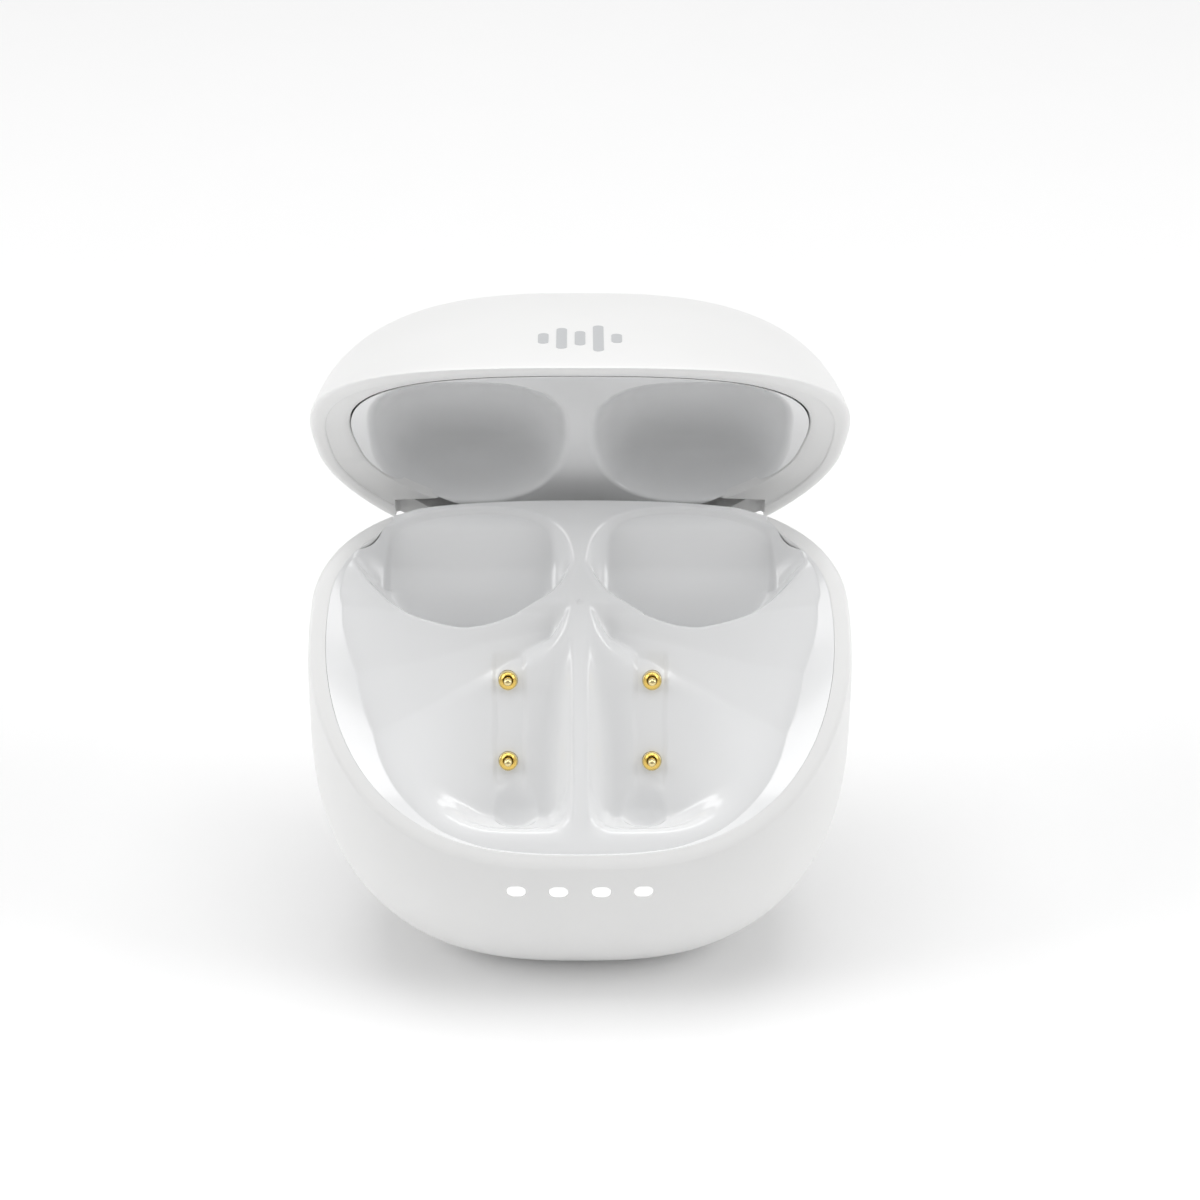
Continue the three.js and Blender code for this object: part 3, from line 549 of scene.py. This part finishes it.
def base_edge(t):
    """Outline of the base liner: inside the shell, then out to the skin where the shell is notched."""
    inside = rim_point(t, rim_width(t) * narrow(t) + BASE_LINER_GAP, -EDGE_DROP)[:, :2]
    outside = rim_point(t, SKIN_GAP, -EDGE_DROP)[:, :2]
    side = NOTCH_HALF - 0.1
    inside = inside[(inside[:, 0] > side) | (inside[:, 1] < 0)]
    outside = outside[(outside[:, 0] <= side) & (outside[:, 1] > inside[-1, 1] + 0.1)]
    steps = np.linspace(inside[-1, 1], outside[0, 1], 10)[1:-1]
    corner = np.stack([np.full_like(steps, side), steps], -1)
    return np.concatenate([inside, corner, outside])


def lid_edge(t):
    """Outline of the lid liner: the inside of the lid's sloped band."""
    return rim_point(t, band_inset(t) + LID_LINER_GAP, BAND_LIFT)[:, :2]


def liner(name, surface, outline, sign, rows=280, cols=320):
    """Fine sheet of a liner, with a skirt that closes it against the shell."""
    step = np.sin(-np.pi / 2 + np.pi * np.arange(rows + 1) / rows)
    power = np.where(step < 0, PLAN_FRONT, PLAN_BACK)
    edge = outline(np.sign(step) * np.arcsin(np.abs(step) ** (power / 2)))
    rows = len(edge) - 1
    s = np.sin(np.pi / 2 * (2 * np.arange(cols + 1) / cols - 1))
    x = edge[:, 0:1] * s[None, :]
    y = edge[:, 1:2] + 0 * x
    top = np.stack([x, y, surface(x, y)], -1)
    back = top.copy()
    back[..., 2] += sign * SKIRT
    verts = np.concatenate([top.reshape(-1, 3), back.reshape(-1, 3)])
    n = (rows + 1) * (cols + 1)
    faces = grid_faces(rows + 1, cols + 1)
    faces += [tuple(reversed(f)) for f in grid_faces(rows + 1, cols + 1, start=n)]
    w = cols + 1
    for i in range(rows):
        for j in (0, cols):
            a = i * w + j
            faces.append((a, a + w, n + a + w, n + a))
    for i in (0, rows):
        for j in range(cols):
            a = i * w + j
            faces.append((a, n + a, n + a + 1, a + 1))
    return new_mesh(name, verts, faces, LINER_SMOOTH)


def hinge_cutter():
    """Room for the hinge block's swing, and for its barrel at the other angles."""
    corners = []
    arcs = ((BLOCK_SWING, BLOCK_FROM, BLOCK_TO), (BARREL_ROOM, BLOCK_TO, BARREL_TO))
    for radius, start, end in arcs:
        for a in np.radians(np.linspace(start, end, 30)):
            corners.append((HINGE_Y + radius * math.cos(a), HINGE_Z + radius * math.sin(a)))
    return prism("hole", corners, -NOTCH_HALF, NOTCH_HALF, along_x)


def deck_cutter():
    """Everything behind the deck's back edge."""
    line = [(x, float(deck_end(x))) for x in np.linspace(-NOTCH_HALF, NOTCH_HALF, 49)]
    outline = line + [(NOTCH_HALF, 24), (-NOTCH_HALF, 24)]
    return prism("hole", outline, RIM - 20, RIM + 12, along_z)


def hinge_pocket():
    """Floor of the recess that the hinge block turns in."""
    side = NOTCH_HALF - 0.9
    outline = [(-side, POCKET_FRONT), (side, POCKET_FRONT)]
    for x in np.linspace(side, -side, 41):
        wall = HALF_BACK * (1 - (abs(x) / HALF_WIDTH) ** PLAN_BACK) ** (1 / PLAN_BACK)
        outline.append((x, float(wall) - WALL - 0.25))
    return prism("hinge_pocket", outline, POCKET_LOW, POCKET_HIGH, along_z)


PIN_TILT = math.atan(FLOOR_SLOPE)
PIN_AXIS = Vector((0, -math.sin(PIN_TILT), math.cos(PIN_TILT)))


def pin_matrix(x, y):
    z = FLOOR_Z + (y - FLOOR_Y) * FLOOR_SLOPE
    turn = Vector((0, 0, 1)).rotation_difference(PIN_AXIS).to_matrix().to_4x4()
    return Matrix.Translation(Vector((x, y, z)) * MM) @ turn


def lathe(name, profile, sides, matrix):
    """Body of revolution about Z from (radius, height) points, closed on its axis."""
    verts, faces = [], []
    for r, h in profile:
        for j in range(sides):
            a = 2 * math.pi * j / sides
            verts.append((r * math.cos(a), r * math.sin(a), h))
    faces = grid_faces(len(profile), sides, wrap=True)
    obj = new_mesh(name, verts, faces)
    obj.data.transform(matrix)
    return obj


PIN_HOLE, PIN_HOLE_REACH = 1.08, 6
DRILL = [(0, -PIN_HOLE_REACH), (PIN_HOLE, -PIN_HOLE_REACH), (PIN_HOLE, PIN_HOLE_REACH), (0, PIN_HOLE_REACH)]
base_liner = liner("base_liner_skin", base_surface, base_edge, -1)
tools = [hinge_cutter(), deck_cutter()]
for sx in (-1, 1):
    for y in PIN_Y:
        tools.append(lathe("hole", DRILL, 40, pin_matrix(sx * PIN_X, y)))
cut(base_liner, tools, LINER_SMOOTH)
show(base_liner, "base", "gloss_white", GLOSS, "base_liner")

lid_liner = liner("lid_liner_skin", lid_surface, lid_edge, 1)
low, high = (-NOTCH_HALF, LID_LINER_BACK, RIM - 12), (NOTCH_HALF, BEHIND, TOP + 5)
cut(lid_liner, [rounded_box("hole", low, high, 0.1, segments=1)], LINER_SMOOTH)
open_lid(lid_liner)
show(lid_liner, "lid", "gloss_white", GLOSS, "lid_liner")


# Room for a bracket's leg through the pocket's floor.
LEG_HALF, LEG_FRONT, LEG_BACK = 1.4, 5.6, 9.4
pocket = hinge_pocket()
legs = []
for sx in (-1, 1):
    middle = sx * sum(BRACKET_X) / 2
    low = (middle - LEG_HALF, LEG_FRONT, RIM - 10)
    high = (middle + LEG_HALF, LEG_BACK, RIM - 6)
    legs.append(rounded_box("hole", low, high, 0.1, segments=1))
cut(pocket, legs)
show(pocket, "base", "satin_white", SATIN)

# ---- charging pins -----------------------------------------------------------
# Profiles as radius and height along the pin's axis.
CUP = [(0, -2.4), (1.0, -2.4), (1.05, -2.3), (1.05, 0.15), (1.03, 0.26), (0.97, 0.32), (0.89, 0.3),
       (0.74, 0.17), (0.6, 0.1), (0.54, 0.03), (0.52, -0.1), (0.52, -1.9), (0, -1.9)]
PLUNGER = [(0, -1.1), (0.45, -1.1), (0.45, 0.9), (0.43, 1.02), (0.36, 1.16), (0.25, 1.26),
           (0.12, 1.31), (0, 1.32)]
for side, sx in (("left", -1), ("right", 1)):
    for level, y in zip(("upper", "lower"), PIN_Y):
        place = pin_matrix(sx * PIN_X, y)
        cup = lathe(f"gold_cup_{side}_{level}", CUP, 48, place)
        show(cup, "base", "gold", GOLD, f"pin_cup_{side}_{level}")
        pin = lathe(f"gold_pin_{side}_{level}", PLUNGER, 40, place)
        show(pin, f"pin_plunger_{side}_{level}", "gold", GOLD, f"pin_plunger_{side}_{level}")


# ---- lights and mark ---------------------------------------------------------
def on_front(name, outline, z0, proud, depth):
    """Thin plate with the given outline, bent over the front skin."""
    pts = []
    for layer in (proud, -depth):
        for x, z in outline:
            ratio = abs(x) / HALF_WIDTH
            k = shrink(np.array(z0 + z), 0.0)
            across = (1 - min(1, ratio / float(k)) ** PLAN_FRONT) ** (1 / PLAN_FRONT)
            reach = HALF_FRONT * float(k) * across
            pts.append((x, -(reach + layer), z0 + z))
    n = len(outline)
    faces = [tuple(range(n)), tuple(range(2 * n - 1, n - 1, -1))]
    faces += [(i, n + i, n + (i + 1) % n, (i + 1) % n) for i in range(n)]
    return new_mesh(name, pts, faces)


def pill(cx, cz, half_w, half_h, steps=10):
    """Outline of a rounded bar, anticlockwise."""
    r = min(half_w, half_h)
    pts = []
    for sx, sz, start in ((1, 1, 0), (-1, 1, 90), (-1, -1, 180), (1, -1, 270)):
        for i in range(steps + 1):
            a = math.radians(start + 90 * i / steps)
            x = cx + sx * (half_w - r) + r * math.cos(a)
            z = cz + sz * (half_h - r) + r * math.sin(a)
            pts.append((x, z))
    return pts


for i, x in enumerate(LIGHT_X):
    outline = pill(x, 0, LIGHT_W / 2 - LIGHT_GAP, LIGHT_H / 2 - LIGHT_GAP)
    window = on_front(f"light_window_{i + 1}", outline, LIGHT_Z, -LIGHT_SUNK, LIGHT_DEPTH)
    show(window, "base", "light_window", WINDOW, f"light_guide_{i + 1}")

bars = []
for x, half in MARK_BARS:
    outline = pill(x, 0, MARK_HALF_W, half)
    bars.append(on_front("bar", outline, MARK_Z, MARK_PROUD, MARK_DEPTH))
mark = bars[0]
mark.name = "front_mark"
with bpy.context.temp_override(active_object=mark, selected_editable_objects=bars):
    bpy.ops.object.join()
open_lid(mark)
show(mark, "lid", "grey_print", PRINT, "lid_mark")

# ---- stage, light and camera -------------------------------------------------
FLOOR_HALF = 3.0
corners = [(sx * FLOOR_HALF, sy * FLOOR_HALF, 0) for sx, sy in ((-1, -1), (1, -1), (1, 1), (-1, 1))]
floor_mesh = bpy.data.meshes.new("studio_floor")
floor_mesh.from_pydata(corners, [], [(0, 1, 2, 3)])
floor = bpy.data.objects.new("studio_floor", floor_mesh)
bpy.context.collection.objects.link(floor)
floor.data.materials.append(moulded("studio_floor", (0.95, 0.95, 0.95), 0.9, tint=0.005))


def soft_light(name, location, size, power):
    """Rectangular lamp turned towards the case's mouth."""
    data = bpy.data.lights.new(name, "AREA")
    data.shape = "RECTANGLE"
    data.size, data.size_y = size
    data.energy = power
    obj = bpy.data.objects.new(name, data)
    obj.location = location
    obj.rotation_euler = (AIM - Vector(location)).to_track_quat("-Z", "Y").to_euler()
    bpy.context.collection.objects.link(obj)


AIM = Vector((0, 0, RIM * MM))
soft_light("key", (0.0, 0.05, 0.75), (0.6, 0.4), 2.8)
soft_light("left", (-0.6, -0.1, 0.4), (0.25, 0.5), 1.5)
soft_light("right", (0.6, -0.1, 0.4), (0.25, 0.5), 1.5)

world = bpy.data.worlds.new("studio")
world.use_nodes = True
sky = world.node_tree.nodes["Background"].inputs
sky["Color"].default_value = (1, 1, 1, 1)
sky["Strength"].default_value = 0.4
bpy.context.scene.world = world
bpy.context.scene.view_settings.view_transform = "Standard"

# Camera: 36 degrees above the horizon, on the case's centre plane.
VIEW_ELEVATION = math.radians(36)
VIEW_DISTANCE = 326.3
camera_data = bpy.data.cameras.new("camera")
camera_data.sensor_width = 36
camera_data.lens = 89.7
camera_data.shift_x = 20 / 1200
camera_data.shift_y = -2.4 / 1200
camera_data.clip_start = 0.01
camera = bpy.data.objects.new("camera", camera_data)
camera.location = (0, -VIEW_DISTANCE * math.cos(VIEW_ELEVATION) * MM,
                   (RIM + VIEW_DISTANCE * math.sin(VIEW_ELEVATION)) * MM)
camera.rotation_euler = (math.pi / 2 - VIEW_ELEVATION, 0, 0)
bpy.context.collection.objects.link(camera)
bpy.context.scene.camera = camera
